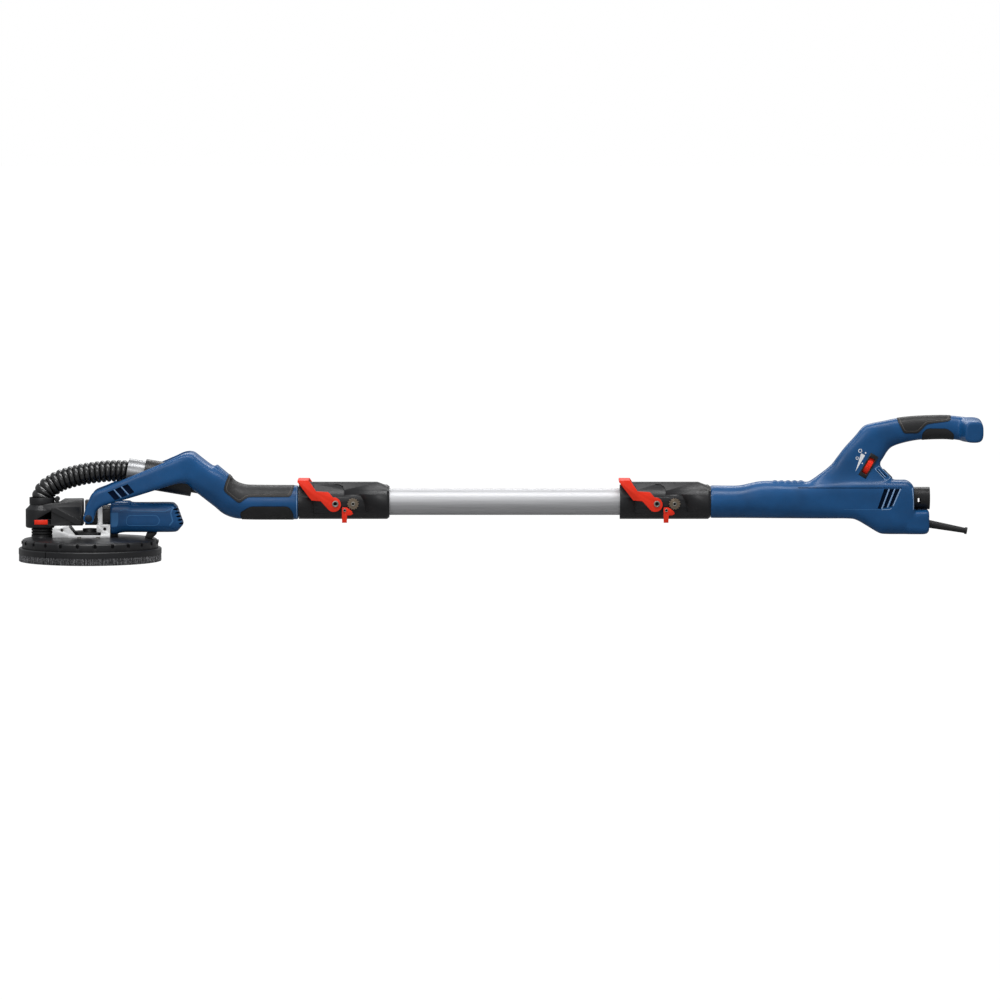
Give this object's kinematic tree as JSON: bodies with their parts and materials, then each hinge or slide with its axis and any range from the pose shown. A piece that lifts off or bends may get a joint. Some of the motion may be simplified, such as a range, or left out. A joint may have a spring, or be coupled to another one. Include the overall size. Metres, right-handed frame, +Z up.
{
  "type": "pole drywall sander",
  "caption": "Long-reach wall and ceiling sander: gimballed motor head with brush-skirted disc on a clamped telescopic pole, dust hose to the neck and a rear handle.",
  "frame": {"origin": "centre of the sanding disc's working face", "axes": "+Z up out of the disc's back, +X along the pole towards the rear handle, +Y to the tool's left"},
  "size_m": [1.6854, 0.25, 0.2542],
  "materials": {
    "blue_plastic": "fine satin",
    "black_plastic": "fine satin",
    "black_rubber": "matt",
    "red_plastic": "satin",
    "tube_aluminium": "satin anodised",
    "cast_aluminium": "fine cast",
    "steel": "machined",
    "copper_winding": "lacquered",
    "hose_plastic": "gloss",
    "grey_plastic": "satin",
    "abrasive": "grit",
    "foam": "closed cell",
    "board": "coated"
  },
  "bodies": {
    "rear": {"rear_housing_left": "blue_plastic", "rear_housing_right": "blue_plastic", "handle_grips": "black_rubber", "housing_screws": "steel", "switch_module": "black_plastic", "rear_dust_duct": "tube_aluminium", "hose_adapter": "black_plastic", "cord_relief": "black_rubber", "speed_wheel_bezel": "black_plastic", "control_board": "board", "rear_clamp_collar": "black_plastic", "rear_clamp_studs": "steel"},
    "extension": {"extension_tube": "tube_aluminium", "front_clamp_collar": "black_plastic", "front_clamp_studs": "steel"},
    "neck": {"neck_housing_left": "blue_plastic", "neck_housing_right": "blue_plastic", "neck_grips": "black_rubber", "neck_dust_duct": "black_plastic", "neck_spigot": "tube_aluminium", "hose_duct_socket": "black_plastic", "hose_cuff": "grey_plastic", "fork_pivot_pins": "steel", "neck_screws": "steel", "hose_run": "hose_plastic"},
    "gimbal": {"gimbal_block": "black_plastic"},
    "head": {"suction_housing": "black_plastic", "roll_pins": "steel", "hose_elbow": "black_plastic", "hose_bend": "hose_plastic", "bellows": "black_rubber", "head_bracket": "cast_aluminium", "head_screws": "steel", "gear_case": "black_plastic", "bearings": "steel", "motor_housing_left": "blue_plastic", "motor_housing_right": "blue_plastic", "stator": "copper_winding", "carbon_brushes": "steel", "motor_bumper": "black_rubber", "shroud": "black_plastic", "ring_springs": "steel"},
    "spindle_body": {"spindle": "steel", "spindle_gear": "steel", "backing_pad": "foam", "sanding_disc": "abrasive", "pad_screw": "steel"},
    "layshaft_body": {"layshaft": "steel"},
    "armature_body": {"armature": "steel"},
    "brush_skirt": {"brush_ring": "black_plastic"},
    "segment": {"brush_segment": "black_plastic"},
    "slider": {"suction_slider": "red_plastic"},
    "speed_dial": {"speed_wheel": "red_plastic"},
    "rocker": {"power_rocker": "black_plastic"},
    "front_lever": {"front_clamp_lever": "red_plastic"},
    "front_star": {"front_star_wheel": "steel"},
    "front_pawl_body": {"front_pawl": "red_plastic"},
    "rear_lever": {"rear_clamp_lever": "red_plastic"},
    "rear_star": {"rear_star_wheel": "steel"},
    "rear_pawl_body": {"rear_pawl": "red_plastic"}
  },
  "joints": [
    {"name": "extension_slide", "type": "slide", "parent": "rear", "child": "extension", "axis": [-1, 0, 0], "range_m": [0, 0.11]},
    {"name": "neck_slide", "type": "slide", "parent": "extension", "child": "neck", "axis": [-1, 0, 0], "range_m": [0, 0.11]},
    {"name": "head_pitch", "type": "hinge", "parent": "neck", "child": "gimbal", "pos_m": [0, 0, 0.076], "axis": [0, 1, 0], "range_deg": [-5, 45], "deforming": ["hose_run", "hose_bend"]},
    {"name": "head_roll", "type": "hinge", "parent": "gimbal", "child": "head", "pos_m": [0, 0, 0.076], "axis": [1, 0, 0], "range_deg": [-12, 12]},
    {"name": "spindle_spin", "type": "hinge", "parent": "head", "child": "spindle_body", "pos_m": [0, 0, 0.02], "axis": [0, 0, 1], "continuous": true},
    {"name": "layshaft_spin", "type": "hinge", "parent": "head", "child": "layshaft_body", "pos_m": [0.036, 0, 0.05], "axis": [0, 0, 1], "continuous": true},
    {"name": "armature_spin", "type": "hinge", "parent": "head", "child": "armature_body", "pos_m": [0.1, 0, 0.076], "axis": [1, 0, 0], "continuous": true},
    {"name": "brush_ring_lift", "type": "slide", "parent": "head", "child": "brush_skirt", "axis": [0, 0, 1], "range_m": [0, 0.003], "stiffness_N_per_m": 15000, "springref_m": -0.004, "deforming": ["ring_springs"]},
    {"name": "brush_segment_pull", "type": "slide", "parent": "brush_skirt", "child": "segment", "axis": [-1, 0, 0], "range_m": [0, 0.04]},
    {"name": "suction_slider_turn", "type": "hinge", "parent": "head", "child": "slider", "pos_m": [-0.084, 0, 0.068], "axis": [0, 0, 1], "range_deg": [0, 25]},
    {"name": "speed_wheel_turn", "type": "hinge", "parent": "rear", "child": "speed_dial", "pos_m": [1.361, -0.0035, 0.166], "axis": [-0.866, 0, 0.5], "range_deg": [0, 270]},
    {"name": "power_rocker_tilt", "type": "hinge", "parent": "rear", "child": "rocker", "pos_m": [1.39363, 0, 0.14963], "axis": [0, 1, 0], "range_deg": [-8, 8]},
    {"name": "front_lever_swing", "type": "hinge", "parent": "extension", "child": "front_lever", "pos_m": [0.4301, 0, 0.1005], "axis": [0, 1, 0], "range_deg": [0, 85]},
    {"name": "front_star_spin", "type": "hinge", "parent": "extension", "child": "front_star", "pos_m": [0.4609, -0.033, 0.1005], "axis": [0, 1, 0], "continuous": true},
    {"name": "front_pawl_lift", "type": "hinge", "parent": "extension", "child": "front_pawl_body", "pos_m": [0.4464, -0.033, 0.0895], "axis": [0, 1, 0], "range_deg": [0, 15], "stiffness_Nm_per_rad": 0.05, "springref_deg": -17.19},
    {"name": "rear_lever_swing", "type": "hinge", "parent": "rear", "child": "rear_lever", "pos_m": [0.9915, 0, 0.1005], "axis": [0, 1, 0], "range_deg": [0, 85]},
    {"name": "rear_star_spin", "type": "hinge", "parent": "rear", "child": "rear_star", "pos_m": [1.0223, -0.033, 0.1005], "axis": [0, 1, 0], "continuous": true},
    {"name": "rear_pawl_lift", "type": "hinge", "parent": "rear", "child": "rear_pawl_body", "pos_m": [1.0078, -0.033, 0.0895], "axis": [0, 1, 0], "range_deg": [0, 15], "stiffness_Nm_per_rad": 0.05, "springref_deg": -17.19}
  ],
  "couplings": [
    {"joint": "layshaft_spin", "follows": "spindle_spin", "ratio": -3},
    {"joint": "armature_spin", "follows": "spindle_spin", "ratio": -3}
  ]
}
